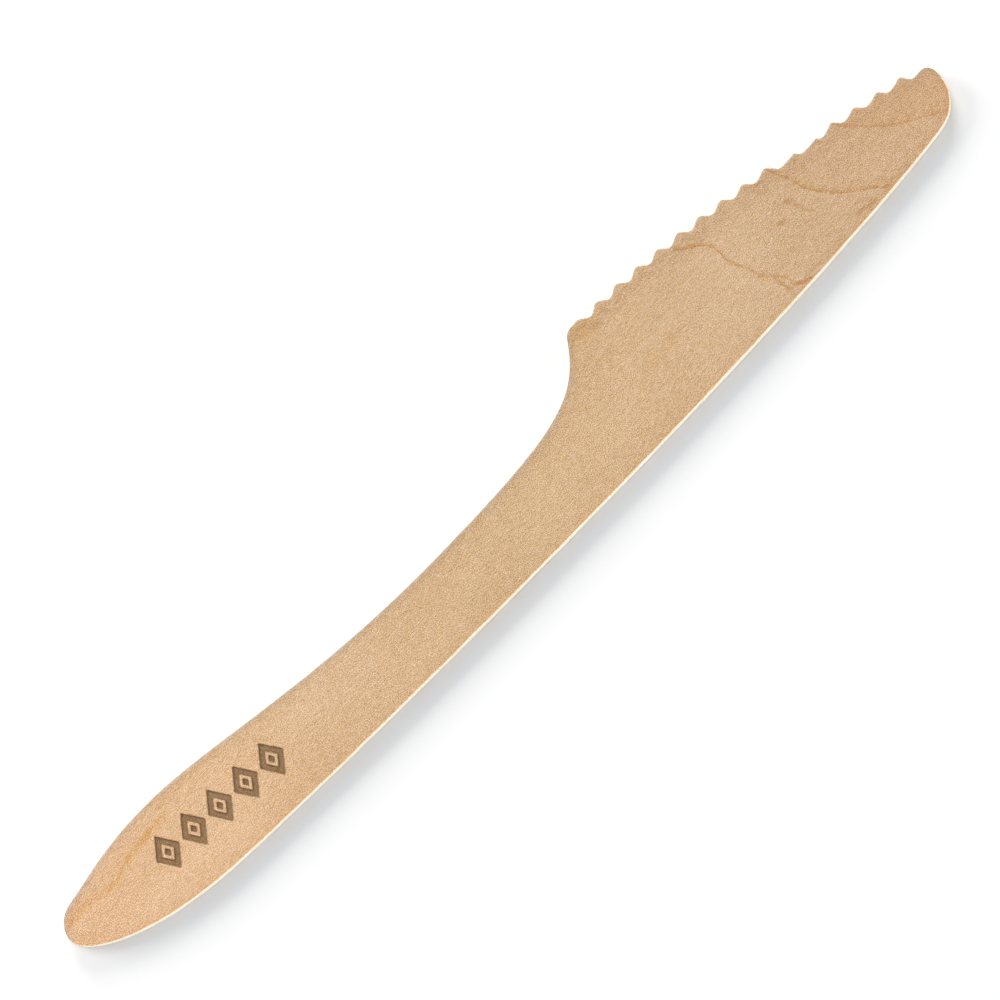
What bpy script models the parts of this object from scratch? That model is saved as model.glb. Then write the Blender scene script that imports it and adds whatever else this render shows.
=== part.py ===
"""A throw-away table knife, stamped in one piece from a sheet of pale wood veneer.

Metres, +Z up. The knife lies flat on its underside. +X runs from the end of the handle to the tip
of the blade, and +Y points to the toothed edge. The origin is on the underside, below the middle
of the outline's box.

The outline is laid out from two lines: x counts from the end of the handle, and y is the height
above the straight line that touches the back of the blade.
"""
import math

import bmesh
import bpy
from mathutils import Vector
from mathutils.geometry import interpolate_bezier

# Whole knife
HANDLE_LENGTH = 0.1020          # end of the handle to the corner of the heel
BLADE_LENGTH = 0.0580           # corner of the heel to the tip
THICKNESS = 0.0018
RIM_ROUNDING = 0.0002           # rounding of the upper and lower edges all round

# Handle: heights of its edges above the back line, and where they lie
END_HEIGHT = 0.0102             # the point of the handle that is farthest back
END_CORNER = 0.0139             # where the round end passes into the grip's upper edge
END_CORNER_FROM_END = 0.0030
END_CORNER_ANGLE = 10.5         # degrees that the upper edge climbs there
GRIP_TOP = 0.0159
GRIP_TOP_FROM_END = 0.0190
GRIP_BOTTOM = 0.00155
GRIP_BOTTOM_FROM_END = 0.0240
GRIP_BOTTOM_ANGLE = 3.0         # degrees that the lower edge falls there
NECK_TOP = 0.0110               # the narrowest place
NECK_TO_HEEL = 0.0330

# Blade
BLADE_WIDTH = 0.0196            # back line to the crest of the first tooth
BACK_TO_HEEL = 0.0060           # the back touches its line this far before the heel
HEEL_ANGLE = 55.0               # degrees, slope of the finger notch as it meets the heel
HEEL_ROUNDING = 0.0013          # cut back from the heel's corner, along both sides of it
TIP_BACK = 0.0024               # height at which the back turns into the round tip
TIP_BACK_FROM_TIP = 0.0050
TIP_BACK_ANGLE = 7.5            # degrees that the back climbs there
NOSE_HEIGHT = 0.0079            # the point of the blade that is farthest forward
SHOULDER_HEIGHT = 0.00985       # the flat between the last tooth and the round tip
SHOULDER_FROM_TIP = 0.0014

# Teeth, in a row along a falling line
TOOTH_PITCH = 0.00344
TOOTH_DEPTH = 0.00084
TOOTH_LEAN = 0.00060            # how far the last crest leans towards the tip; the first is upright
FIRST_CREST_FROM_HEEL = 0.00206
LAST_ROOT_FROM_TIP = 0.00277
CUT_START_ANGLE = 1.8           # degrees that the row falls at the heel
CUT_END_ANGLE = 12.7            # degrees that it falls at the tip
CUT_END_HEIGHT = 0.0110         # height of the crests' line over the last root
WORN_FROM_TIP = 0.0186          # the two teeth nearest to this place are worn flat
WORN_LOSS = 0.00073             # what their tops have lost
WORN_SINK = 0.00018             # how far the row sinks there
WORN_REACH = 0.0056             # the sinking fades out over this length, both ways

# Pressed mark on the grip: a row of lozenges, each a frame with a small lozenge inside
MARK_FROM_END = 0.0263
MARK_HEIGHT = 0.0087
MARK_ANGLE = -4.0               # degrees from the knife's length
MARK_DEPTH = 0.00012
LOZENGE_COUNT = 5
LOZENGE_LENGTH = 0.0039
LOZENGE_HEIGHT = 0.0055
LOZENGE_GAP = 0.00065           # between neighbours
LOZENGE_LINE = 0.00075          # width of the frame's bars
SEED_LENGTH = 0.0009            # the small lozenge
SEED_HEIGHT = 0.0013

# Points on each stretch of the outline
LONG_STEPS = 14
SHORT_STEPS = 8
TOOTH_STEPS = 10

# How far a curved stretch reaches along its end directions, as a share of the stretch itself
EVEN_PULL = 0.33
BACK_PULL = 0.25
TIGHT_PULL = 0.11
FULL_PULL = 0.62
ROUND_PULL = 0.43
NOTCH_HEEL_PULL = 0.24
NOTCH_NECK_PULL = 0.67
NECK_PULL = 0.48
GRIP_PULL = 0.23
END_CORNER_PULL = 0.19
END_PULL = 0.50

# Colour of pale birch veneer
WOOD_COLOUR = (0.665, 0.456, 0.262, 1.0)
WOOD_ROUGHNESS = 0.78

LENGTH = HANDLE_LENGTH + BLADE_LENGTH
HEEL_CORNER = Vector((HANDLE_LENGTH, BLADE_WIDTH))
CUT_START = HANDLE_LENGTH + FIRST_CREST_FROM_HEEL
CUT_END = LENGTH - LAST_ROOT_FROM_TIP
WORN_MIDDLE = LENGTH - WORN_FROM_TIP


def heading(degrees):
    """Unit vector at an angle from +X."""
    angle = math.radians(degrees)
    return Vector((math.cos(angle), math.sin(angle)))


def stretch(start, start_angle, start_pull, end, end_angle, end_pull, steps):
    """Points of a curve that leaves start and arrives at end in the given directions.

    The last point is left to the stretch that follows.
    """
    span = (end - start).length
    start_handle = start + heading(start_angle) * span * start_pull
    end_handle = end - heading(end_angle) * span * end_pull
    knots = [knot.to_3d() for knot in (start, start_handle, end_handle, end)]
    points = interpolate_bezier(*knots, steps + 1)
    return [point.to_2d() for point in points[:-1]]


def cut_height(x):
    """Height of the line that the unworn crests lie on."""
    span = CUT_END - CUT_START
    along = (x - CUT_START) / span
    drop = BLADE_WIDTH - CUT_END_HEIGHT
    start_drop = math.tan(math.radians(CUT_START_ANGLE)) * span
    end_drop = math.tan(math.radians(CUT_END_ANGLE)) * span
    cubic = start_drop + end_drop - 2.0 * drop
    square = 3.0 * drop - 2.0 * start_drop - end_drop
    return BLADE_WIDTH - ((cubic * along + square) * along + start_drop) * along


def sink(x):
    """How far the row of teeth sinks at the worn place."""
    distance = min(abs(x - WORN_MIDDLE) / WORN_REACH, 1.0)
    return WORN_SINK * 0.5 * (1.0 + math.cos(math.pi * distance))


def worn_top(tooth, pitch):
    """Height that a tooth is worn down to, or its crest's own height if it isn't worn."""
    crest = CUT_START + pitch * tooth
    crest += TOOTH_LEAN * (crest - CUT_START) / (CUT_END - CUT_START)
    loss = WORN_LOSS if abs(crest - WORN_MIDDLE) < pitch else 0.0
    return cut_height(crest) - loss


def toothed_edge():
    """Points from the last root, by the tip, back to the first crest, by the heel.

    The last root is as deep as it takes to meet the flat before the round tip.
    """
    span = CUT_END - CUT_START
    tooth_count = round(span / TOOTH_PITCH - 0.5)
    steps = tooth_count * TOOTH_STEPS + TOOTH_STEPS // 2
    pitch = span * TOOTH_STEPS / steps
    points = []
    for step in range(steps, -1, -1):
        x = CUT_START + span * step / steps
        upright = 2.0 * math.pi * step / TOOTH_STEPS
        lean = TOOTH_LEAN * step / steps * 0.5 * (1.0 + math.cos(upright))
        root = 0.5 * (1.0 - math.cos(upright - 2.0 * math.pi * lean / pitch))
        depth = TOOTH_DEPTH if step <= tooth_count * TOOTH_STEPS else CUT_END_HEIGHT - SHOULDER_HEIGHT
        y = cut_height(x) - depth * root - sink(x)
        top = worn_top((step + TOOTH_STEPS // 2) // TOOTH_STEPS, pitch)
        points.append(Vector((x, min(y, top))))
    return points


def outline():
    """The knife's outline, anticlockwise from the end of the handle, along the back first."""
    end = Vector((0.0, END_HEIGHT))
    grip_bottom = Vector((GRIP_BOTTOM_FROM_END, GRIP_BOTTOM))
    back = Vector((HANDLE_LENGTH - BACK_TO_HEEL, 0.0))
    tip_back = Vector((LENGTH - TIP_BACK_FROM_TIP, TIP_BACK))
    nose = Vector((LENGTH, NOSE_HEIGHT))
    shoulder = Vector((LENGTH - SHOULDER_FROM_TIP, SHOULDER_HEIGHT))
    heel_top = HEEL_CORNER + heading(0.0) * HEEL_ROUNDING
    heel_side = HEEL_CORNER - heading(HEEL_ANGLE) * HEEL_ROUNDING
    neck = Vector((HANDLE_LENGTH - NECK_TO_HEEL, NECK_TOP))
    grip_top = Vector((GRIP_TOP_FROM_END, GRIP_TOP))
    end_corner = Vector((END_CORNER_FROM_END, END_CORNER))
    notch_way = 180.0 + HEEL_ANGLE
    corner_way = 180.0 + END_CORNER_ANGLE

    points = stretch(end, -90.0, TIGHT_PULL, grip_bottom, -GRIP_BOTTOM_ANGLE, FULL_PULL, LONG_STEPS)
    points += stretch(grip_bottom, -GRIP_BOTTOM_ANGLE, EVEN_PULL, back, 0.0, EVEN_PULL, LONG_STEPS)
    points += stretch(back, 0.0, BACK_PULL, tip_back, TIP_BACK_ANGLE, BACK_PULL, LONG_STEPS)
    points += stretch(tip_back, TIP_BACK_ANGLE, ROUND_PULL, nose, 90.0, EVEN_PULL, SHORT_STEPS)
    points += stretch(nose, 90.0, ROUND_PULL, shoulder, 180.0, ROUND_PULL, SHORT_STEPS)
    points.append(shoulder)
    points += toothed_edge()
    points += stretch(heel_top, 180.0, ROUND_PULL, heel_side, notch_way, ROUND_PULL, SHORT_STEPS)
    points += stretch(heel_side, notch_way, NOTCH_HEEL_PULL, neck, 180.0, NOTCH_NECK_PULL, LONG_STEPS)
    points += stretch(neck, 180.0, NECK_PULL, grip_top, 180.0, GRIP_PULL, LONG_STEPS)
    points += stretch(grip_top, 180.0, ROUND_PULL, end_corner, corner_way, ROUND_PULL, SHORT_STEPS)
    points += stretch(end_corner, corner_way, END_CORNER_PULL, end, 270.0, END_PULL, SHORT_STEPS)
    return points


def box_middle(points):
    """Middle of the box around a flat outline."""
    xs = [point.x for point in points]
    ys = [point.y for point in points]
    return Vector((min(xs) + max(xs), min(ys) + max(ys))) / 2.0


def lozenge(centre, length, height):
    """Corners of one lozenge that lies along the mark."""
    along = heading(MARK_ANGLE) * length / 2.0
    across = heading(MARK_ANGLE + 90.0) * height / 2.0
    return [centre + along, centre + across, centre - along, centre - across]


def mark_loops(centre):
    """Closed loops of the mark: the outside and the inside of each frame, and its seed."""
    slant = math.hypot(LOZENGE_LENGTH, LOZENGE_HEIGHT)
    inner_length = LOZENGE_LENGTH - 2.0 * LOZENGE_LINE * slant / LOZENGE_HEIGHT
    inner_height = LOZENGE_HEIGHT - 2.0 * LOZENGE_LINE * slant / LOZENGE_LENGTH
    sizes = ((LOZENGE_LENGTH, LOZENGE_HEIGHT), (inner_length, inner_height), (SEED_LENGTH, SEED_HEIGHT))
    loops = []
    for index in range(LOZENGE_COUNT):
        place = (index - (LOZENGE_COUNT - 1) / 2.0) * (LOZENGE_LENGTH + LOZENGE_GAP)
        middle = centre + heading(MARK_ANGLE) * place
        for length, height in sizes:
            loops.append(lozenge(middle, length, height))
    return loops


def flat_curve(name, loops, half_thickness, middle_height, collection):
    """A filled 2D curve with one closed spline for each loop, level at middle_height."""
    curve = bpy.data.curves.new(name, "CURVE")
    curve.dimensions = "2D"
    curve.fill_mode = "BOTH"
    curve.extrude = half_thickness
    for loop in loops:
        spline = curve.splines.new("POLY")
        spline.points.add(len(loop) - 1)
        for point, place in zip(spline.points, loop):
            point.co = (place.x, place.y, 0.0, 1.0)
        spline.use_cyclic_u = True
    flat = bpy.data.objects.new(name, curve)
    flat.location.z = middle_height
    collection.objects.link(flat)
    return flat


def is_inside_cap(edge):
    """True for an edge that only divides a flat cap."""
    return len(edge.link_faces) == 2 and edge.calc_face_angle() < math.radians(0.1)


def solid_from_curve(flat, name, collection):
    """A closed mesh object in place of a filled curve, with each cap one face where it can be."""
    bpy.context.view_layer.update()
    depsgraph = bpy.context.evaluated_depsgraph_get()
    mesh = bpy.data.meshes.new_from_object(flat.evaluated_get(depsgraph))
    mesh.name = name
    shape = bmesh.new()
    shape.from_mesh(mesh)
    bmesh.ops.remove_doubles(shape, verts=shape.verts, dist=1e-6)
    caps = [edge for edge in shape.edges if is_inside_cap(edge)]
    bmesh.ops.dissolve_edges(shape, edges=caps, use_verts=False)
    bmesh.ops.recalc_face_normals(shape, faces=shape.faces)
    shape.to_mesh(mesh)
    shape.free()
    solid = bpy.data.objects.new(name, mesh)
    solid.matrix_world = flat.matrix_world
    collection.objects.link(solid)
    curve = flat.data
    bpy.data.objects.remove(flat)
    bpy.data.curves.remove(curve)
    return solid


def wood_material():
    """Pale, unvarnished wood."""
    material = bpy.data.materials.new("birch_veneer")
    material.use_nodes = True
    shader = material.node_tree.nodes["Principled BSDF"]
    shader.inputs["Base Color"].default_value = WOOD_COLOUR
    shader.inputs["Roughness"].default_value = WOOD_ROUGHNESS
    shader.inputs["Metallic"].default_value = 0.0
    return material


def make_blank(points, collection):
    """The stamped knife with its rounded rims."""
    flat = flat_curve("knife_outline", [points], THICKNESS / 2.0, THICKNESS / 2.0, collection)
    blank = solid_from_curve(flat, "wooden_knife", collection)
    blank.data.materials.append(wood_material())
    blank.data.shade_smooth()
    blank.data.set_sharp_from_angle(angle=math.radians(35.0))
    rims = blank.modifiers.new("rounded_rims", "BEVEL")
    rims.width = RIM_ROUNDING
    rims.segments = 2
    rims.limit_method = "ANGLE"
    rims.angle_limit = math.radians(60.0)
    return blank


def press_mark(blank, middle, collection):
    """Sinks the mark into the upper face of the grip."""
    centre = Vector((MARK_FROM_END, MARK_HEIGHT)) - middle
    flat = flat_curve("mark_outline", mark_loops(centre), MARK_DEPTH, THICKNESS, collection)
    cutter = solid_from_curve(flat, "mark_cutter", collection)
    cutter.hide_render = True
    cutter.display_type = "WIRE"
    pressed = blank.modifiers.new("pressed_mark", "BOOLEAN")
    pressed.operation = "DIFFERENCE"
    pressed.solver = "EXACT"
    pressed.object = cutter


def new_collection(name):
    """A collection in the scene."""
    collection = bpy.data.collections.new(name)
    bpy.context.scene.collection.children.link(collection)
    return collection


def main():
    for old in list(bpy.data.objects):
        bpy.data.objects.remove(old)
    knife = new_collection("wooden_knife")
    cutters = new_collection("cutters")
    points = outline()
    middle = box_middle(points)
    blank = make_blank([point - middle for point in points], knife)
    press_mark(blank, middle, cutters)


main()
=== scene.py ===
"""The looks of a throw-away wooden table knife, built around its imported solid.

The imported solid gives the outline, the thickness, the rims and the pressed mark. The knife is
made again from them as one closed mesh with the fine shape of stamped veneer, and its wood is a
procedural material. It lies on a plain white floor, in soft light from the side of the teeth.

Sizes are in millimetres unless a comment says otherwise. Colours of the wood are sRGB, from 0
to 255.
"""
import math
from typing import NamedTuple

import bmesh
import bpy
import numpy as np
from mathutils import Matrix, Vector, kdtree, noise
from mathutils.geometry import delaunay_2d_cdt


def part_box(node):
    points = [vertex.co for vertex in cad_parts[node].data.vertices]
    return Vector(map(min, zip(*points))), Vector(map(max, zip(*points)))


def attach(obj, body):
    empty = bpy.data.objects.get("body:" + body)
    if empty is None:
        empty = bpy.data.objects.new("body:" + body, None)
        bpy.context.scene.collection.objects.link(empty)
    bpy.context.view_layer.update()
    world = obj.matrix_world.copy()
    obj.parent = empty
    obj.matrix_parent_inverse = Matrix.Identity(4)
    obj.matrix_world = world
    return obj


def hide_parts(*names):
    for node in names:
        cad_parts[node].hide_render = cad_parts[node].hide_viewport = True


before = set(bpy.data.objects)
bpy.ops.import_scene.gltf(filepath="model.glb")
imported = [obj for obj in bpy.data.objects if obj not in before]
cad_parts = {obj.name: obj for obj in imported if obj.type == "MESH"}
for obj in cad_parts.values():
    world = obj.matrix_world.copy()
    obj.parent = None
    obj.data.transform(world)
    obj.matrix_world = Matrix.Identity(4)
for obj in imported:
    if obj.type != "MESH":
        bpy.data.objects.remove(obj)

METRE = 1000.0                  # millimetres in a metre
NODE = "wooden_knife"

# Camera: the photograph's frame, seen from far off
FRAME_SPAN = 130.36             # what the frame spans at the knife
FRAME_MIDDLE = (0.285, 0.405)   # point of the upper face at the middle of the frame
KNIFE_CLIMB = 45.9              # degrees that the knife climbs in the frame
CAMERA_LEAN = 13.0              # degrees from straight above, towards the back of the blade
CAMERA_DISTANCE = 1200.0
SENSOR_SPAN = 36.0
CAMERA_CLIP = (0.1, 100.0)      # metres


# Light

class Lamp(NamedTuple):
    """A soft lamp far off. The shares of all lamps and of the sky add up to about 1."""
    name: str
    turn: float                 # degrees from the side of the teeth towards the grip's end
    elevation: float            # degrees above the floor
    spread: float               # degrees that it is wide
    share: float                # of the light that falls on a level face
    colour: tuple               # red, green and blue, each 1 for white


WHITE = (1.0, 1.0, 1.0)
WARM = (1.029, 1.0, 0.931)      # with the cool light of the sky, it adds up to white
COOL = (0.967, 1.0, 1.08)
LAMPS = (
    Lamp("key_by_tip", -30.0, 14.5, 38.0, 0.20, WARM),
    Lamp("key_by_grip", 30.0, 14.5, 38.0, 0.20, WARM),
    Lamp("soft", 0.0, 50.0, 34.0, 0.12, WARM),
    Lamp("fill", 180.0, 5.0, 8.0, 0.040, WHITE),
)
SKY_SHARE = 0.44

# Floor
FLOOR_SPAN = 3000.0
FLOOR_SHADE = 0.86              # share of the light that it throws back
FLOOR_SHADE_SEEN = 1.055        # the same, as the camera sees it

# Mesh
OUTLINE_STEP = 0.25
DENSE_STEP = 0.06
UPPER_STEP = 0.31
UNDERSIDE_STEP = 0.42
MARK_STEP = 0.17
CLEARANCE = 0.55                # share of a step that grid points keep from a ring
RIM_STEPS = 3
WALL_STEPS = 6
WELD = 0.0005
LEVEL = 0.01                    # heights that differ by less are the same
FLAT = 0.999                    # upward part of a normal from which a face counts as level
STRAIGHT = 0.001                # points where a loop turns by less, in radians, are dropped
CORNER_SHARE = 0.4              # most of a side that a rounded corner takes
CORNER_POINTS = 5
SHARP_ANGLE = 40.0              # degrees between two faces from which their edge looks sharp
INNER_TRIANGLES = 1             # kind of triangulation that stays inside its closed runs
TRIANGLE_TOLERANCE = 1e-6

# What each corner of the mesh tells the material
FIELDS = ("edge_distance", "teeth", "side", "cut", "over", "torn", "burn", "scorch_and_shade")

# Fine shape
RIM = 0.14                      # rounding of the rims
RAGGED_DEPTHS = (0.17, 0.05)    # how far the cut wanders in, on the back and on the teeth's side
RAGGED_LENGTHS = (5.0, 1.6, 0.5)
RAGGED_WEIGHTS = (0.55, 0.30, 0.15)
RAGGED_RISE = 2.4               # height over which it wanders differently
SIDE_TURN = 0.35                # how far a wall turns between the two sides
TEAR_DEPTH = 0.04               # how far torn fibres fall back below the clean cut
TEAR_SIZE = (1.8, 1.8, 0.2)
TEAR_RISE = (0.02, 0.1)         # shares of the thickness between which the tearing sets in
CLEAN_CUT = 0.62                # share of the thickness that is cut clean, from above
CLEAN_FADE = 0.1                # share over which the torn part passes into the clean one
CUT_STARTS = (0.0, 0.7)         # how far round a rim the cut's colour starts, on back and front
CUT_ENDS = (0.7, 1.0)           # how far round it is full
WAVE_DEPTH = 0.022              # slow unevenness of the two faces
WAVE_SIZE = (26.0, 7.0)
FIBRE_DEPTH = 0.008
FIBRE_SIZE = (4.0, 0.9)
TROUGH_DEPTH = 0.011            # the die presses a shallow trough inside the teeth
TROUGH_PLACE = 1.2
TROUGH_WIDTH = 0.6
EDGE_REACH = 6.0                # distances from the outline are kept up to this
UPPER_SEED = 1.5                # places in the noise
UNDERSIDE_SEED = 8.5
MARK_SEED = 4.5

# Toothed edge, counted along the knife from its middle
TEETH_START = 21.0
TEETH_END = 78.5
TEETH_FADE = 2.5

# Pressed mark
MARK_CORNER = 0.16              # cut back from each corner to round it
MARK_WALL_RUN = 0.06            # how far its walls lean in
MARK_ROUGHNESS = 0.02           # unevenness of its floor
MARK_GRAIN = (0.9, 0.25)
SCORCH_AND_SHADE_REACH = 0.16             # width of the dark line along its walls: scorch, and partly painted shade at the recess's edges

# Wood, along the knife from its middle. A tint is what red, green and blue are multiplied by.
FACE_COLOURS = (
    (-80.0, (229, 187, 147)),
    (-54.0, (225, 186, 145)),
    (-32.0, (219, 183, 144)),
    (-6.0, (214, 180, 139)),
    (26.0, (212, 177, 137)),
    (38.0, (212, 178, 140)),
    (54.0, (209, 175, 138)),
    (80.0, (209, 172, 134)),
)
PALE_AND_SHADED_CUT_COLOURS = ((255, 247, 225), (180, 154, 126))    # pale on the back; on the teeth's side darkened as painted shade, against the strong lamps there
TORN_AND_FOOT_SHADE_TINT = (0.76, 0.76, 0.81)          # below the clean cut: torn fibres, and partly painted shade at the wall's foot
BACK_TINT = (1.05, 0.995, 0.92)         # first millimetre of the faces along the back
FRONT_SHADE_TINT = (0.89, 0.92, 0.965)        # painted shade over the first millimetre of the faces on the teeth's side
RIM_SHADE_TINT = (0.30, 0.36, 0.45)          # painted shade on the rounded rim on the teeth's side, against the lamps' highlight there
CREST_TINT = (0.93, 1.00, 1.12)         # tint of the rounded rim on the teeth themselves
SHADE_TINT = (0.975, 0.965, 0.97)       # first two millimetres all round
TROUGH_SHADE_TINT = (0.955, 0.94, 0.93)        # painted shade of the pressed trough, in a band inside the teeth
BURN_TINT = (0.46, 0.42, 0.36)
# dark line along the mark's walls: scorch, and partly painted shade
SCORCH_AND_SHADE_TINT = (0.80, 0.78, 0.75)

# Where the tints along the edge start, and where they are full, as distances from it
BACK_BAND = (0.95, 0.3)
# painted shade on the teeth's side
FRONT_SHADE_BAND = (1.3, 0.15)
SHADE_BAND = (2.2, 0.6)
TEETH_BAND = (1.15, 0.15)       # counted from the band's middle
TEETH_BAND_PLACE = 1.4
PLAIN_FADE = (1.25, 0.0)        # how toothed an edge is where the plain edge's tints do so

# Finish
ROUGHNESS = 0.80
ROUGHNESS_CHANGE = -0.15        # how much it follows the grain
GLOSS = 0.2
BUMP_DEPTH = 0.011


class Layer(NamedTuple):
    """Noise in the wood."""
    size: tuple                 # lengths that it changes over
    detail: float
    strength: float


FIBRES = Layer((0.8, 0.10, 0.10), 1.5, 0.85)
SPECKS = Layer((0.125, 0.105, 0.105), 1.0, 3.25)
PATCHES = Layer((1.6, 0.6, 0.6), 2.0, 0.30)
CLOUDS = Layer((14.0, 4.0, 4.0), 3.0, 0.28)
HUES = Layer((0.8, 0.35, 0.35), 2.0, 0.45)
STREAKS = Layer((2.6, 0.30, 0.09), 2.5, 0.85)   # on the cut edge only
CUT_GRAIN = 0.45                        # how much of the faces' grain the cut edge shows
LIGHT_WEIGHTS = (0.72, 1.0, 1.55)       # how much each colour follows the grain
HUE_WEIGHTS = (0.20, 0.0, -1.0)


class Tone(NamedTuple):
    """How the wood changes along a line of its figure."""
    before: float               # width over which it fades out on the line's low side
    past: float                 # the same on its high side
    strength: float
    tint: tuple


BROWN = (0.83, 0.64, 0.42)
ORANGE = (0.98, 0.91, 0.79)
PALE = (1.015, 1.03, 1.07)
OCHRE = (0.95, 0.85, 0.62)


class Line(NamedTuple):
    """A line of the wood's figure, on axes turned back from the knife's own."""
    turn: float                 # degrees between those axes and the knife's
    points: tuple               # (along, across) pairs on the upper face
    ends: float                 # length over which it fades out at its ends
    tones: tuple


FIGURE_TURN = 45.0
FIGURE_SLANT = 2.4                      # how far the figure shifts for each unit of depth
FIGURE_WANDER = Layer((0.55, 0.55, 0.55), 3.0, 0.60)    # how unevenly a line runs
FIGURE_FADE_SIZE = (0.9, 0.9, 0.9)      # lengths over which a line grows fainter and stronger
FIGURE_FADE = (0.15, 0.6)               # noise at which it is gone, and at which it is full
CRUMB_SIZE = (0.26, 0.20, 0.20)         # finer noise that breaks up the lines and the flecks
LINES = (
    Line(
        FIGURE_TURN,
        ((43.5, 49.0), (46.4, 48.5), (50.2, 48.4), (53.0, 48.75), (55.5, 49.35), (59.0, 50.2)),
        0.0,
        (Tone(0.18, 0.42, 0.62, BROWN), Tone(0.10, 1.6, 0.50, ORANGE), Tone(0.1, 12.0, 0.38, ORANGE)),
    ),
    Line(
        FIGURE_TURN,
        ((35.0, 43.1), (38.2, 41.75), (40.7, 40.4), (43.2, 39.8), (45.7, 39.75), (48.4, 40.15),
         (51.5, 40.4)),
        0.0,
        (Tone(0.22, 0.54, 0.84, BROWN), Tone(0.10, 1.8, 0.90, ORANGE), Tone(2.5, 0.1, 0.70, PALE)),
    ),
    Line(
        FIGURE_TURN,
        ((22.5, 33.6), (23.8, 32.95), (25.2, 33.2), (27.1, 33.4), (28.9, 32.5), (29.7, 31.5),
         (31.4, 30.6), (33.2, 29.9), (34.2, 29.1), (35.8, 29.0), (37.9, 28.8), (38.7, 27.9),
         (40.8, 28.5)),
        0.0,
        (Tone(0.28, 0.48, 0.90, BROWN), Tone(0.9, 0.8, 0.75, ORANGE), Tone(7.0, 0.1, 0.80, PALE)),
    ),
    Line(
        0.0,
        ((-82.0, 2.1), (-79.0, 2.3), (-76.0, 2.6), (-73.5, 2.2), (-70.5, 1.8), (-68.5, 2.5),
         (-65.0, 3.1), (-62.0, 3.35), (-58.5, 3.6)),
        2.5,
        (Tone(0.6, 0.6, 0.85, OCHRE), Tone(1.4, 1.4, 0.45, OCHRE)),
    ),
    Line(
        0.0,
        ((-61.0, 4.2), (-56.0, 4.9), (-52.0, 4.7), (-47.0, 3.7)),
        3.0,
        (Tone(0.8, 0.8, 0.35, OCHRE),),
    ),
    Line(
        0.0,
        ((23.0, -2.1), (26.0, -1.3), (29.0, -0.9), (33.0, -1.1)),
        2.0,
        (Tone(1.6, 1.6, 0.60, ORANGE),),
    ),
)

FLECK_LEVEL = 0.9               # share of the thickness from which flecks are full
FLECK_REACH = 2.0               # square of how many of its half sizes a fleck reaches
FLECK_UNEVENNESS = 3.2


class Fleck(NamedTuple):
    """A small dark place in the upper face."""
    place: tuple
    size: tuple                 # half its length and width
    turn: float                 # degrees from the knife's length
    strength: float
    tint: tuple


FLECKS = (
    Fleck((54.25, 0.6), (0.50, 0.34), -40.0, 0.78, BROWN),
    Fleck((54.9, -0.9), (1.10, 0.26), -65.0, 0.52, BROWN),
    Fleck((53.0, 1.5), (0.60, 0.35), -30.0, 0.28, BROWN),
    Fleck((51.7, -0.8), (0.85, 0.34), -15.0, 0.60, BROWN),
    Fleck((52.1, 3.2), (0.30, 0.25), 0.0, 0.25, BROWN),
    Fleck((53.0, 5.2), (1.10, 0.30), -20.0, 0.35, BROWN),
    Fleck((54.4, -5.6), (0.60, 0.25), -45.0, 0.20, BROWN),
    Fleck((61.0, -7.5), (1.60, 0.28), -8.0, 0.50, BROWN),
    Fleck((46.05, -6.3), (0.95, 0.26), -80.0, 0.55, BROWN),
    Fleck((46.2, -7.5), (0.50, 0.34), -45.0, 0.75, BROWN),
    Fleck((47.9, -8.3), (1.10, 0.28), -30.0, 0.50, BROWN),
    Fleck((43.9, 2.3), (0.60, 0.22), 0.0, 0.35, BROWN),
    Fleck((68.7, -5.1), (0.10, 0.08), 0.0, 0.80, BROWN),
    Fleck((23.4, 8.3), (2.60, 1.30), -5.0, 0.45, OCHRE),
    Fleck((-63.5, 3.2), (1.00, 0.45), 12.0, 0.60, OCHRE),
    Fleck((-67.0, 2.9), (0.70, 0.40), 20.0, 0.45, OCHRE),
)

COLOUR_A, COLOUR_B, COLOUR_OUT = 6, 7, 2    # sockets of a Mix node that mixes colours


def srgb(red, green, blue):
    """A colour as a shader takes it."""
    shares = np.array((red, green, blue)) / 255.0
    linear = np.where(shares <= 0.04045, shares / 12.92, ((shares + 0.055) / 1.055) ** 2.4)
    return (*linear.tolist(), 1.0)


def smooth_step(value, low, high):
    """0 below low, 1 above high, and a smooth rise between them."""
    share = min(max((value - low) / (high - low), 0.0), 1.0)
    return share * share * (3.0 - 2.0 * share)


def between(share, low, high):
    """The value that lies a share of the way from low to high."""
    return (1.0 - share) * low + share * high


def uneven(x, y, z, size):
    """Smooth noise between about 0 and 1 that changes over the given lengths."""
    place = [value / length for value, length in zip((x, y, z), size)]
    return min(max(0.5 + 0.5 * noise.noise(Vector(place)), 0.0), 1.0)


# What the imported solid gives

class Solid(NamedTuple):
    """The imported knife's measures."""
    outline: np.ndarray         # where its upright wall begins, anticlockwise
    rim: float                  # rounding of its rims
    thickness: float
    mark: list                  # loops round the mark's floor, each with the floor on its left
    mark_depth: float


def open_mesh(mesh):
    """The mesh with its corners joined up, in millimetres."""
    shape = bmesh.new()
    shape.from_mesh(mesh)
    bmesh.ops.scale(shape, vec=(METRE,) * 3, verts=shape.verts)
    bmesh.ops.remove_doubles(shape, verts=shape.verts, dist=WELD)
    shape.normal_update()
    return shape


def walk_loops(links):
    """Closed loops of flat points, from a table that gives the corner after each corner."""
    loops = []
    left = dict(links)
    while left:
        start = next(iter(left))
        loop = [start]
        following = left.pop(start)
        while following is not start:
            loop.append(following)
            following = left.pop(following)
        loops.append(np.array([vert.co.xy for vert in loop]))
    return loops


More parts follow.
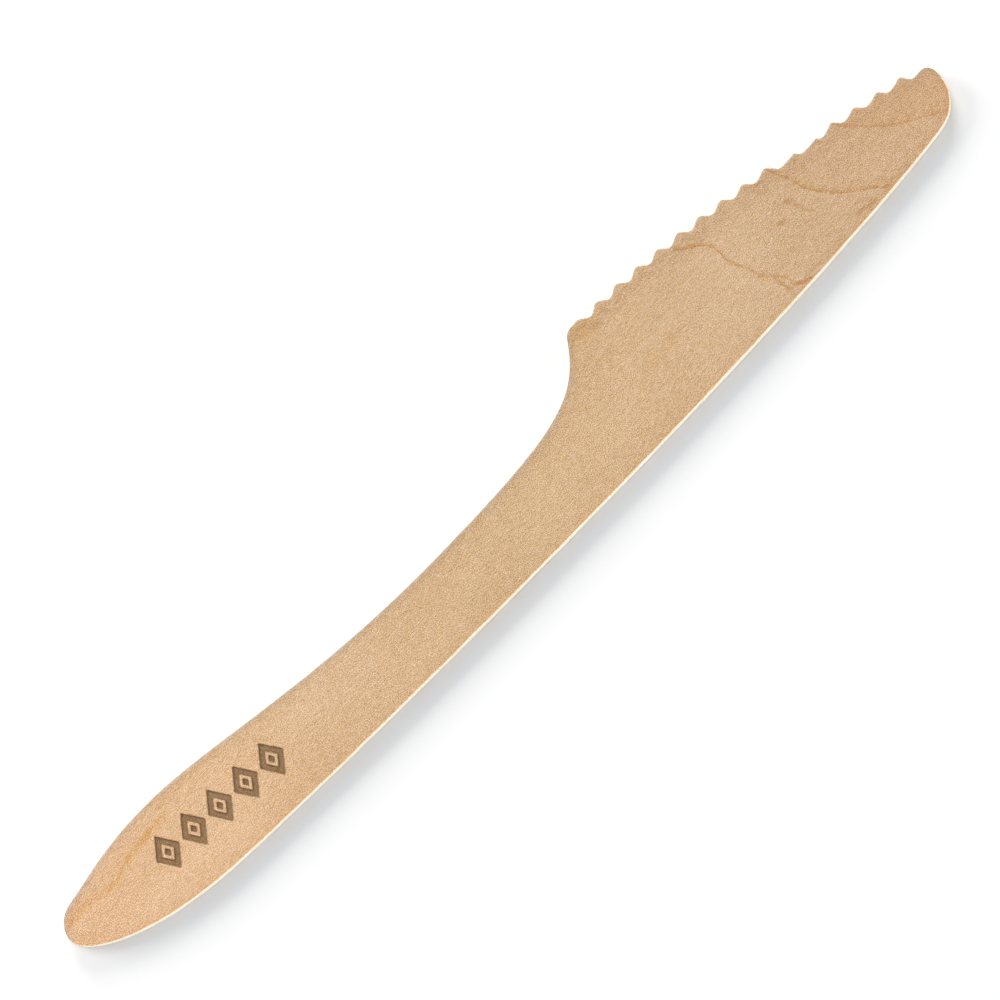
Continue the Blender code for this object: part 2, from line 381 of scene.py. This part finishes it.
def wall_foot(shape, thickness):
    """The outline where the upright wall begins, and its height."""
    rim = max(vert.co.z for vert in shape.verts if vert.co.z < thickness / 2.0)
    links = {}
    for face in shape.faces:
        if max(vert.co.z for vert in face.verts) < thickness / 2.0:
            continue
        for loop in face.loops:
            start, end = loop.vert, loop.link_loop_next.vert
            if max(abs(start.co.z - rim), abs(end.co.z - rim)) < LEVEL:
                links[start] = end
    return walk_loops(links)[0], rim


def drop_straight(points):
    """The loop without the points that lie on a straight stretch."""
    before = points - np.roll(points, 1, axis=0)
    after = np.roll(points, -1, axis=0) - points
    turn = np.abs(before[:, 0] * after[:, 1] - before[:, 1] * after[:, 0])
    return points[turn > STRAIGHT * np.linalg.norm(before, axis=1) * np.linalg.norm(after, axis=1)]


def mark_floor(shape, thickness):
    """Loops round the floor of the pressed mark, and its depth."""
    floor = [
        face for face in shape.faces
        if face.normal.z > FLAT and face.calc_center_median().z < thickness - LEVEL
    ]
    inside = set(floor)
    links = {}
    for face in floor:
        for loop in face.loops:
            if loop.link_loop_radial_next.face not in inside:
                links[loop.vert] = loop.link_loop_next.vert
    heights = [face.calc_center_median().z for face in floor]
    return [drop_straight(loop) for loop in walk_loops(links)], thickness - max(heights)


def measure(node):
    """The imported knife's measures."""
    low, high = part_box(node.name)
    thickness = (high.z - low.z) * METRE
    shape = open_mesh(node.data)
    outline, rim = wall_foot(shape, thickness)
    mark, mark_depth = mark_floor(shape, thickness)
    shape.free()
    return Solid(outline, rim, thickness, mark, mark_depth)


# Flat geometry

def even_steps(points, step):
    """Points at even steps along the closed line through the given points."""
    closed = np.vstack((points, points[:1]))
    lengths = np.linalg.norm(np.diff(closed, axis=0), axis=1)
    along = np.concatenate(((0.0,), np.cumsum(lengths)))
    count = max(3, round(along[-1] / step))
    places = np.arange(count) * along[-1] / count
    return np.column_stack([np.interp(places, along, closed[:, axis]) for axis in (0, 1)])


def smooth_ring(points, step):
    """Points at even steps along a smooth closed curve through the given points."""
    before = points - np.roll(points, 1, axis=0)
    after = np.roll(points, -1, axis=0) - points
    a = np.sqrt(np.linalg.norm(before, axis=1))[:, None]
    b = np.sqrt(np.linalg.norm(after, axis=1))[:, None]
    slopes = (before * b / a + after * a / b) / (a + b)
    dense = []
    for index, start in enumerate(points):
        following = (index + 1) % len(points)
        count = math.ceil(b[index, 0] ** 2 / DENSE_STEP)
        s = (np.arange(count) / count)[:, None]
        dense.append(
            start * (2.0 * s ** 3 - 3.0 * s ** 2 + 1.0)
            + points[following] * (3.0 * s ** 2 - 2.0 * s ** 3)
            + b[index] * slopes[index] * (s ** 3 - 2.0 * s ** 2 + s)
            + b[index] * slopes[following] * (s ** 3 - s ** 2)
        )
    return even_steps(np.vstack(dense), step)


def outward(ring):
    """Unit vectors that point out of an anticlockwise ring, one for each point."""
    along = np.roll(ring, -1, axis=0) - np.roll(ring, 1, axis=0)
    along /= np.linalg.norm(along, axis=1)[:, None]
    return np.column_stack((along[:, 1], -along[:, 0]))


def round_corners(points, cut, step):
    """A loop of straight sides with its corners rounded and points at even steps."""
    rounded = []
    for index, corner in enumerate(points):
        before = points[index - 1] - corner
        after = points[(index + 1) % len(points)] - corner
        start = corner + before * min(cut / np.linalg.norm(before), CORNER_SHARE)
        end = corner + after * min(cut / np.linalg.norm(after), CORNER_SHARE)
        for s in np.linspace(0.0, 1.0, CORNER_POINTS):
            rounded.append((1.0 - s) ** 2 * start + 2.0 * s * (1.0 - s) * corner + s * s * end)
    return even_steps(np.array(rounded), step)


def hex_grid(low, high, step):
    """Points in rows between two corners, every other row half a step along."""
    rows = np.arange(low[1], high[1], step * math.sqrt(3.0) / 2.0)
    points = []
    for index, y in enumerate(rows):
        xs = np.arange(low[0] + 0.5 * step * (index % 2), high[0], step)
        points.append(np.column_stack((xs, np.full(len(xs), y))))
    return np.vstack(points)


def finder(points):
    """A search tree over flat points."""
    tree = kdtree.KDTree(len(points))
    for index, (x, y) in enumerate(points):
        tree.insert((x, y, 0.0), index)
    tree.balance()
    return tree


def in_loops(points, loops):
    """For each point, whether it lies inside an odd number of the loops."""
    odd = np.zeros(len(points), bool)
    for loop in loops:
        for start, end in zip(loop, np.roll(loop, -1, axis=0)):
            if start[1] == end[1]:
                continue
            spans = (start[1] > points[:, 1]) != (end[1] > points[:, 1])
            slope = (end[0] - start[0]) / (end[1] - start[1])
            odd ^= spans & (points[:, 0] < start[0] + (points[:, 1] - start[1]) * slope)
    return odd


def triangulate(points, run_lengths):
    """Triangles over flat points, the first of which form closed runs of the given lengths."""
    edges = []
    start = 0
    for length in run_lengths:
        edges += [(start + i, start + (i + 1) % length) for i in range(length)]
        start += length
    corners = [Vector(point) for point in points]
    made = delaunay_2d_cdt(corners, edges, [], INNER_TRIANGLES, TRIANGLE_TOLERANCE)
    faces, origins = made[2], made[3]
    return [[origins[corner][0] for corner in face] for face in faces]


# The knife's mesh

class Edge:
    """The knife's cut edge: ragged rings along its foot and its top, and what lies near it."""

    def __init__(self, solid):
        smooth = smooth_ring(solid.outline, OUTLINE_STEP)
        self.normals = outward(smooth)
        self.side = [smooth_step(normal[1], -SIDE_TURN, SIDE_TURN) for normal in self.normals]
        self.foot = self.ragged(smooth, 0.0)
        self.ring = self.ragged(smooth, solid.thickness)
        self.tree = finder(self.ring)

    def ragged(self, smooth, height):
        """The ring, moved in by as much as the cut wanders at that height."""
        moved = []
        for point, normal, side in zip(smooth, self.normals, self.side):
            wander = sum(
                weight * uneven(*point, height, (length, length, RAGGED_RISE))
                for weight, length in zip(RAGGED_WEIGHTS, RAGGED_LENGTHS)
            )
            moved.append(point - normal * wander * between(side, *RAGGED_DEPTHS))
        return np.array(moved)

    def at(self, share):
        """The ring at a share of the thickness."""
        return between(share, self.foot, self.ring)

    def near(self, x, y):
        """Distance to the outline, and whether the nearest place is toothed, and on which side."""
        _, index, distance = self.tree.find((x, y, 0.0))
        return min(distance, EDGE_REACH), self.toothed(index), self.side[index]

    def toothed(self, index):
        """1 on the toothed edge, fading to 0 at both ends of it, and 0 elsewhere."""
        if self.normals[index][1] < 0.0:
            return 0.0
        x = self.ring[index][0]
        rise = smooth_step(x, TEETH_START, TEETH_START + TEETH_FADE)
        return rise * (1.0 - smooth_step(x, TEETH_END - TEETH_FADE, TEETH_END))

    def inner(self, points, clearance):
        """Those of the points that lie inside the outline by the clearance."""
        kept = []
        for point in points:
            _, index, distance = self.tree.find((*point, 0.0))
            if distance > clearance and np.dot(point - self.ring[index], self.normals[index]) < 0.0:
                kept.append(point)
        return np.array(kept)


class Knife:
    """The knife's mesh in the making."""

    def __init__(self, solid):
        self.solid = solid
        self.edge = Edge(solid)
        self.corners = []
        self.faces = []
        self.rim = min(RIM, solid.rim)
        self.fields = {name: [] for name in FIELDS}

    def add(self, x, y, z, cut=0.0, over=0.0, torn=0.0, burn=0.0, scorch_and_shade=0.0):
        """Adds a corner and what the material needs to know of it."""
        self.corners.append((x / METRE, y / METRE, z / METRE))
        values = (*self.edge.near(x, y), cut, over, torn, burn, scorch_and_shade)
        for name, value in zip(FIELDS, values):
            self.fields[name].append(value)

    def dip(self, x, y, upper):
        """How far a face lies inside the full thickness."""
        seed = UPPER_SEED if upper else UNDERSIDE_SEED
        waves = WAVE_DEPTH * uneven(x, y, seed, (*WAVE_SIZE, 1.0))
        fibres = FIBRE_DEPTH * uneven(x, y, seed, (*FIBRE_SIZE, 1.0))
        if not upper:
            return waves + fibres
        distance, teeth, _ = self.edge.near(x, y)
        off = (distance - TROUGH_PLACE) / TROUGH_WIDTH
        return waves + fibres + TROUGH_DEPTH * teeth * math.exp(-off * off)

    def profile(self):
        """Insets and heights of the rings, from the lower face round the wall to the upper."""
        rim, thickness = self.rim, self.solid.thickness
        turns = np.linspace(0.0, math.pi / 2.0, RIM_STEPS + 1)
        lower = [(rim * (1.0 - math.sin(t)), rim * (1.0 - math.cos(t))) for t in turns]
        upper = [(inset, thickness - height) for inset, height in reversed(lower)]
        heights = np.linspace(rim, thickness - rim, WALL_STEPS + 1)[1:-1]
        return lower + [(0.0, height) for height in heights] + upper

    def add_ring(self, inset, height):
        """Adds one ring of the wall or of a rim."""
        share = height / self.solid.thickness
        clean = smooth_step(share, 1.0 - CLEAN_CUT - CLEAN_FADE, 1.0 - CLEAN_CUT)
        torn = smooth_step(share, *TEAR_RISE) * (1.0 - clean)
        round_rim = 1.0 - inset / self.rim
        over = round_rim if share > 0.5 else 0.0
        ring = zip(self.edge.at(share), self.edge.normals, self.edge.side)
        for point, normal, side in ring:
            tear = torn * uneven(*point, height, TEAR_SIZE)
            x, y = point - normal * (inset + TEAR_DEPTH * tear)
            lift = between(share, self.dip(x, y, False), -self.dip(x, y, True))
            cut = smooth_step(round_rim, between(side, *CUT_STARTS), between(side, *CUT_ENDS))
            self.add(x, y, height + lift, cut=cut, over=over, torn=1.0 - clean)

    def add_wall(self):
        """Adds the rims and the wall between the two faces."""
        profile = self.profile()
        count = len(self.edge.ring)
        for inset, height in profile:
            self.add_ring(inset, height)
        for level in range(len(profile) - 1):
            low, high = level * count, (level + 1) * count
            for i in range(count):
                j = (i + 1) % count
                self.faces.append((low + i, low + j, high + j, high + i))
        return 0, (len(profile) - 1) * count

    def grid(self, step):
        """Points all over a face, clear of its rim."""
        ring = self.edge.ring
        points = hex_grid(ring.min(axis=0), ring.max(axis=0), step)
        return self.edge.inner(points, self.rim + CLEARANCE * step)

    def add_face(self, first, points, loops, upper):
        """Closes a face between its rim, whose ring begins at first, and the points inside it."""
        count = len(self.edge.ring)
        ring = np.array([corner[:2] for corner in self.corners[first:first + count]]) * METRE
        flat = np.vstack([ring, *loops, points])
        start = len(self.corners) - count
        places = [first + i if i < count else start + i for i in range(len(flat))]
        for triangle in triangulate(flat, [count, *map(len, loops)]):
            corners = [places[i] for i in triangle]
            self.faces.append(corners if upper else corners[::-1])

    def add_underside(self, first):
        """Adds the lower face."""
        points = self.grid(UNDERSIDE_STEP)
        self.add_face(first, points, [], False)
        for x, y in points:
            self.add(x, y, self.dip(x, y, False))

    def mark_loops(self):
        """The mark's loops with rounded corners: at the upper face, and at the floor."""
        upper = [round_corners(loop, MARK_CORNER, MARK_STEP) for loop in self.solid.mark]
        lower = [loop - outward(loop) * MARK_WALL_RUN for loop in upper]
        return upper, lower

    def add_upper_face(self, first):
        """Adds the upper face with the pressed mark in it."""
        tops, floors = self.mark_loops()
        lines = np.vstack(tops + floors)
        low, high = lines.min(axis=0) - UPPER_STEP, lines.max(axis=0) + UPPER_STEP
        coarse = self.grid(UPPER_STEP)
        outside = ((coarse < low) | (coarse > high)).any(axis=1)
        fine = hex_grid(low, high, MARK_STEP)
        tree = finder(lines)
        clear = [tree.find((x, y, 0.0))[2] > CLEARANCE * MARK_STEP for x, y in fine]
        points = np.vstack((coarse[outside], fine[clear]))
        pressed = in_loops(points, tops)
        self.add_face(first, points, tops + floors, True)
        for loop in tops:
            self.add_pressed(loop, [0.0] * len(loop), tree)
        for loop in floors:
            self.add_pressed(loop, [1.0] * len(loop), tree)
        self.add_pressed(points, pressed.astype(float), tree)

    def add_pressed(self, points, shares, tree):
        """Adds points of the upper face, each pressed in by a share of the mark's depth."""
        for (x, y), share in zip(points, shares):
            distance = tree.find((x, y, 0.0))[2]
            rough = MARK_ROUGHNESS * (uneven(x, y, MARK_SEED, (*MARK_GRAIN, 1.0)) - 0.5)
            z = self.solid.thickness - self.dip(x, y, True) - share * (self.solid.mark_depth + rough)
            burn = 1.0 if distance < WELD else share
            # dark line along the walls: scorch, and partly painted shade at the recess's edges
            scorch_and_shade = burn * math.exp(-((distance / SCORCH_AND_SHADE_REACH) ** 2))
            self.add(x, y, z, burn=burn, scorch_and_shade=scorch_and_shade)

    def mesh(self):
        """The finished mesh."""
        lower_ring, upper_ring = self.add_wall()
        self.add_underside(lower_ring)
        self.add_upper_face(upper_ring)
        mesh = bpy.data.meshes.new("knife_wood")
        mesh.from_pydata(self.corners, [], self.faces)
        for name, values in self.fields.items():
            mesh.attributes.new(name, "FLOAT", "POINT").data.foreach_set("value", values)
        mesh.shade_smooth()
        mesh.set_sharp_from_angle(angle=math.radians(SHARP_ANGLE))
        mesh.validate()
        return mesh


# Materials

class Graph:
    """Short ways to add nodes to a material or a world, and to link them."""

    def __init__(self, owner):
        owner.use_nodes = True
        self.tree = owner.node_tree
        self.tree.nodes.clear()

    def node(self, kind, **settings):
        made = self.tree.nodes.new(kind)
        for name, value in settings.items():
            setattr(made, name, value)
        return made

    def feed(self, socket, value):
        """Links the socket to another's output, or sets it to a plain value."""
        if isinstance(value, bpy.types.NodeSocket):
            self.tree.links.new(value, socket)
        else:
            socket.default_value = value

    def maths(self, operation, *values):
        made = self.node("ShaderNodeMath", operation=operation)
        for socket, value in zip(made.inputs, values):
            self.feed(socket, value)
        return made.outputs[0]

    def vector(self, operation, first, second):
        made = self.node("ShaderNodeVectorMath", operation=operation)
        self.feed(made.inputs[0], first)
        self.feed(made.inputs["Scale" if operation == "SCALE" else 1], second)
        return made.outputs[0]

    def rise(self, value, low, high, smooth=True):
        """0 at low and 1 at high, with a rise between them, whichever of them is greater."""
        made = self.node("ShaderNodeMapRange")
        made.interpolation_type = "SMOOTHSTEP" if smooth else "LINEAR"
        self.feed(made.inputs["Value"], value)
        made.inputs["From Min"].default_value = low
        made.inputs["From Max"].default_value = high
        return made.outputs["Result"]

    def field(self, name):
        """A number that the mesh holds at each corner."""
        return self.node("ShaderNodeAttribute", attribute_name=name).outputs["Fac"]

    def noise(self, place, size, detail=2.0):
        """Noise between 0 and 1 that changes over the given lengths."""
        stretched = self.vector("DIVIDE", place, size)
        made = self.node("ShaderNodeTexNoise")
        self.feed(made.inputs["Vector"], stretched)
        made.inputs["Scale"].default_value = 1.0
        made.inputs["Detail"].default_value = detail
        return made.outputs["Fac"]

    def blend(self, mode, amount, first, second):
        """Two colours mixed by an amount between 0 and 1."""
        made = self.node("ShaderNodeMix", data_type="RGBA", blend_type=mode)
        self.feed(made.inputs[0], amount)
        self.feed(made.inputs[COLOUR_A], first)
        self.feed(made.inputs[COLOUR_B], second)
        return made.outputs[COLOUR_OUT]

    def tint(self, amount, colour, times):
        """The colour, multiplied by the tint as far as the amount says."""
        return self.blend("MULTIPLY", amount, colour, (*times, 1.0))

    def swing(self, value, amount):
        """A number around 0 that swings by the amount as the value goes from 0 to 1."""
        return self.maths("MULTIPLY", self.maths("SUBTRACT", value, 0.5), amount)

    def total(self, *values):
        result = values[0]
        for value in values[1:]:
            result = self.maths("ADD", result, value)
        return result


def face_colour(graph, x):
    """The wood's colour from one end of the knife to the other."""
    ramp = graph.node("ShaderNodeValToRGB")
    start, end = FACE_COLOURS[0][0], FACE_COLOURS[-1][0]
    graph.feed(ramp.inputs[0], graph.rise(x, start, end, smooth=False))
    elements = ramp.color_ramp.elements
    while len(elements) < len(FACE_COLOURS):
        elements.new(1.0)
    for element, (place, colour) in zip(elements, FACE_COLOURS):
        element.position = (place - start) / (end - start)
        element.color = srgb(*colour)
    return ramp.outputs["Color"]


def layer(graph, place, noise_layer):
    """One layer of noise, around 0."""
    value = graph.noise(place, noise_layer.size, noise_layer.detail)
    return graph.swing(value, noise_layer.strength)


def shaded(graph, colour, light, hue):
    """The colour with the grain's light and dark, and its slight changes of hue."""
    change = graph.vector("SCALE", LIGHT_WEIGHTS, light)
    change = graph.vector("ADD", change, graph.vector("SCALE", HUE_WEIGHTS, hue))
    return graph.vector("MULTIPLY", colour, graph.vector("ADD", change, (1.0, 1.0, 1.0)))


def turned(graph, x, y, degrees):
    """Places along and across axes that are turned back from the knife's own."""
    cos, sin = math.cos(math.radians(degrees)), math.sin(math.radians(degrees))
    along = graph.total(graph.maths("MULTIPLY", x, cos), graph.maths("MULTIPLY", y, -sin))
    across = graph.total(graph.maths("MULTIPLY", x, sin), graph.maths("MULTIPLY", y, cos))
    return along, across


def line_curve(graph, points, along):
    """How far across a line lies, for each place along it."""
    alongs, acrosses = zip(*points)
    low, span = min(acrosses), max(acrosses) - min(acrosses)
    curve = graph.node("ShaderNodeFloatCurve")
    handles = curve.mapping.curves[0].points
    while len(handles) < len(points):
        handles.new(0.5, 0.5)
    for handle, (place, across) in zip(handles, points):
        handle.location = ((place - alongs[0]) / (alongs[-1] - alongs[0]), (across - low) / span)
    curve.mapping.update()
    graph.feed(curve.inputs["Value"], graph.rise(along, alongs[0], alongs[-1], smooth=False))
    return graph.maths("ADD", graph.maths("MULTIPLY", curve.outputs[0], span), low)


def figure_line(graph, colour, line, place, depth, crumbs):
    """Changes the wood along one line of its figure, which slants as it goes deeper."""
    split = graph.node("ShaderNodeSeparateXYZ")
    graph.feed(split.inputs[0], place)
    along, across = turned(graph, split.outputs[0], split.outputs[1], line.turn)
    wander = layer(graph, place, FIGURE_WANDER)
    slant = graph.maths("MULTIPLY", depth, FIGURE_SLANT)
    curve = graph.maths("MULTIPLY", line_curve(graph, line.points, along), -1.0)
    past = graph.total(across, slant, wander, curve)
    shown = graph.rise(graph.noise(place, FIGURE_FADE_SIZE), *FIGURE_FADE)
    shown = graph.maths("MULTIPLY", shown, graph.rise(crumbs, *FIGURE_FADE))
    if line.ends:
        start, end = line.points[0][0], line.points[-1][0]
        shown = graph.maths("MULTIPLY", shown, graph.rise(along, start, start + line.ends))
        shown = graph.maths("MULTIPLY", shown, graph.rise(along, end, end - line.ends))
    for tone in line.tones:
        ridge = graph.rise(past, -tone.before, 0.0)
        ridge = graph.maths("MULTIPLY", ridge, graph.rise(past, tone.past, 0.0))
        amount = graph.maths("MULTIPLY", graph.maths("MULTIPLY", ridge, shown), tone.strength)
        colour = graph.tint(amount, colour, tone.tint)
    return colour


def fleck(graph, colour, spot, x, y, upper, crumbs):
    """Darkens one small place of the upper face."""
    dx = graph.maths("SUBTRACT", x, spot.place[0])
    dy = graph.maths("SUBTRACT", y, spot.place[1])
    along, across = turned(graph, dx, dy, -spot.turn)
    along = graph.maths("DIVIDE", along, spot.size[0])
    across = graph.maths("DIVIDE", across, spot.size[1])
    square = graph.total(graph.maths("MULTIPLY", along, along), graph.maths("MULTIPLY", across, across))
    square = graph.maths("ADD", square, graph.swing(crumbs, FLECK_UNEVENNESS))
    amount = graph.maths("MULTIPLY", graph.rise(square, FLECK_REACH, 0.0), upper)
    return graph.tint(graph.maths("MULTIPLY", amount, spot.strength), colour, spot.tint)


def edge_tones(graph, colour):
    """The colours of the faces near the cut edge, of the rims and of the edge itself, with painted
    shade on the teeth's side and partly on the lower wall.
    """
    edge, teeth, side = (graph.field(name) for name in ("edge_distance", "teeth", "side"))
    back = graph.maths("SUBTRACT", 1.0, side)
    plain = graph.maths("MULTIPLY", side, graph.rise(teeth, *PLAIN_FADE))
    off_middle = graph.maths("ABSOLUTE", graph.maths("SUBTRACT", edge, TEETH_BAND_PLACE))
    along_back = graph.maths("MULTIPLY", graph.rise(edge, *BACK_BAND), back)
    front_shade = graph.maths("MULTIPLY", graph.rise(edge, *FRONT_SHADE_BAND), plain)
    trough_shade = graph.maths("MULTIPLY", graph.rise(off_middle, *TEETH_BAND), teeth)
    colour = graph.tint(along_back, colour, BACK_TINT)
    # painted shade along the edge on the teeth's side
    colour = graph.tint(front_shade, colour, FRONT_SHADE_TINT)
    colour = graph.tint(graph.rise(edge, *SHADE_BAND), colour, SHADE_TINT)
    # painted shade of the pressed trough inside the teeth
    colour = graph.tint(trough_shade, colour, TROUGH_SHADE_TINT)
    over = graph.field("over")
    # painted shade on the rounded rim of the teeth's side
    colour = graph.tint(graph.maths("MULTIPLY", over, plain), colour, RIM_SHADE_TINT)
    colour = graph.tint(graph.maths("MULTIPLY", over, teeth), colour, CREST_TINT)
    # the cut's colour, darkened on the teeth's side as painted shade
    cut_colour_and_shade = graph.blend("MIX", side, srgb(*PALE_AND_SHADED_CUT_COLOURS[0]), srgb(*PALE_AND_SHADED_CUT_COLOURS[1]))
    # the lower wall darker: torn fibres, and partly painted shade at its foot
    cut_colour_and_shade = graph.tint(graph.field("torn"), cut_colour_and_shade, TORN_AND_FOOT_SHADE_TINT)
    return graph.blend("MIX", graph.field("cut"), colour, cut_colour_and_shade)


def grain(graph, place):
    """The grain's light and dark: on the faces, and in streaks on the cut edge."""
    cut = graph.field("cut")
    light = graph.total(*(layer(graph, place, each) for each in (FIBRES, SPECKS, PATCHES, CLOUDS)))
    shown = graph.maths("SUBTRACT", 1.0, graph.maths("MULTIPLY", cut, 1.0 - CUT_GRAIN))
    light = graph.maths("MULTIPLY", light, shown)
    return graph.maths("ADD", light, graph.maths("MULTIPLY", cut, layer(graph, place, STREAKS)))


def knife_material(thickness):
    """Pale, unvarnished birch veneer, its cut edge and its burnt mark."""
    material = bpy.data.materials.new("birch_veneer_finish")
    graph = Graph(material)
    place = graph.vector("SCALE", graph.node("ShaderNodeTexCoord").outputs["Object"], METRE)
    split = graph.node("ShaderNodeSeparateXYZ")
    graph.feed(split.inputs[0], place)
    x, y, z = split.outputs
    depth = graph.maths("SUBTRACT", thickness, z)
    upper = graph.rise(z, thickness / 2.0, thickness * FLECK_LEVEL)

    colour = face_colour(graph, x)
    crumbs = graph.noise(place, CRUMB_SIZE)
    for line in LINES:
        colour = figure_line(graph, colour, line, place, depth, crumbs)
    for spot in FLECKS:
        colour = fleck(graph, colour, spot, x, y, upper, crumbs)
    colour = edge_tones(graph, colour)
    colour = graph.tint(graph.field("burn"), colour, BURN_TINT)
    # scorch, and partly painted shade, along the mark's walls
    colour = graph.tint(graph.field("scorch_and_shade"), colour, SCORCH_AND_SHADE_TINT)

    light = grain(graph, place)
    hue = layer(graph, place, HUES)
    shader = graph.node("ShaderNodeBsdfPrincipled")
    graph.feed(shader.inputs["Base Color"], shaded(graph, colour, light, hue))
    change = graph.maths("MULTIPLY", light, ROUGHNESS_CHANGE)
    graph.feed(shader.inputs["Roughness"], graph.maths("ADD", change, ROUGHNESS))
    shader.inputs["Specular IOR Level"].default_value = GLOSS
    bump = graph.node("ShaderNodeBump")
    bump.inputs["Strength"].default_value = 1.0
    bump.inputs["Distance"].default_value = BUMP_DEPTH / METRE
    graph.feed(bump.inputs["Height"], light)
    graph.feed(shader.inputs["Normal"], bump.outputs["Normal"])
    output = graph.node("ShaderNodeOutputMaterial")
    graph.feed(output.inputs["Surface"], shader.outputs["BSDF"])
    return material


# Floor, light and camera

def seen_share(graph):
    """1 for what the camera, a reflection or a see-through surface shows, and 0 for light."""
    path = graph.node("ShaderNodeLightPath")
    seen = graph.maths("MAXIMUM", path.outputs["Is Camera Ray"], path.outputs["Is Glossy Ray"])
    return graph.maths("MAXIMUM", seen, path.outputs["Is Transmission Ray"])


def add_floor():
    """A plain white floor that keeps the knife's shadow."""
    shape = bmesh.new()
    bmesh.ops.create_grid(shape, x_segments=1, y_segments=1, size=FLOOR_SPAN / METRE / 2.0)
    mesh = bpy.data.meshes.new("floor")
    shape.to_mesh(mesh)
    shape.free()
    material = bpy.data.materials.new("floor_paint")
    graph = Graph(material)
    shade = graph.maths("MULTIPLY", seen_share(graph), FLOOR_SHADE_SEEN - FLOOR_SHADE)
    matt = graph.node("ShaderNodeBsdfDiffuse")
    graph.feed(matt.inputs["Color"], graph.maths("ADD", shade, FLOOR_SHADE))
    output = graph.node("ShaderNodeOutputMaterial")
    graph.feed(output.inputs["Surface"], matt.outputs["BSDF"])
    mesh.materials.append(material)
    floor = bpy.data.objects.new("floor", mesh)
    bpy.context.scene.collection.objects.link(floor)


def add_lamp(lamp):
    """Adds one of the soft lamps."""
    light = bpy.data.lights.new(lamp.name, "SUN")
    angle = math.radians(lamp.elevation)
    light.energy = math.pi * lamp.share / math.sin(angle)
    light.angle = math.radians(lamp.spread)
    light.color = lamp.colour
    sun = bpy.data.objects.new(lamp.name, light)
    towards = Vector((0.0, math.cos(angle), math.sin(angle)))
    towards.rotate(Matrix.Rotation(math.radians(lamp.turn), 3, "Z"))
    sun.rotation_euler = towards.to_track_quat("Z", "Y").to_euler()
    bpy.context.scene.collection.objects.link(sun)


def add_sky():
    """Even light from all round, which looks white itself."""
    world = bpy.data.worlds.new("studio")
    bpy.context.scene.world = world
    graph = Graph(world)
    light = [SKY_SHARE * share for share in COOL]
    background = graph.node("ShaderNodeBackground")
    colour = graph.blend("MIX", seen_share(graph), (*light, 1.0), (*WHITE, 1.0))
    graph.feed(background.inputs["Color"], colour)
    output = graph.node("ShaderNodeOutputWorld")
    graph.feed(output.inputs["Surface"], background.outputs["Background"])


def add_camera(height):
    """The photograph's view, from far off with a long lens."""
    data = bpy.data.cameras.new("camera")
    data.sensor_width = SENSOR_SPAN
    data.lens = SENSOR_SPAN * CAMERA_DISTANCE / FRAME_SPAN
    data.clip_start, data.clip_end = CAMERA_CLIP
    climb, lean = math.radians(KNIFE_CLIMB), math.radians(CAMERA_LEAN)
    knife = Vector((1.0, 0.0, 0.0))
    across = Vector((0.0, math.cos(lean), math.sin(lean)))
    right = math.cos(climb) * knife - math.sin(climb) * across
    up = math.sin(climb) * knife + math.cos(climb) * across
    back = right.cross(up)
    camera = bpy.data.objects.new("camera", data)
    target = Vector((*FRAME_MIDDLE, height)) / METRE
    turn = Matrix((right, up, back)).transposed().to_4x4()
    camera.matrix_world = Matrix.Translation(target + back * CAMERA_DISTANCE / METRE) @ turn
    bpy.context.scene.collection.objects.link(camera)
    bpy.context.scene.camera = camera


def main():
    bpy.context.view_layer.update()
    solid = measure(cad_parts[NODE])
    mesh = Knife(solid).mesh()
    mesh.materials.append(knife_material(solid.thickness))
    knife = bpy.data.objects.new("knife_wood", mesh)
    bpy.context.scene.collection.objects.link(knife)
    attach(knife, "root")
    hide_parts(NODE)
    add_floor()
    add_sky()
    for lamp in LAMPS:
        add_lamp(lamp)
    add_camera(solid.thickness)
    bpy.context.scene.view_settings.view_transform = "Standard"


main()
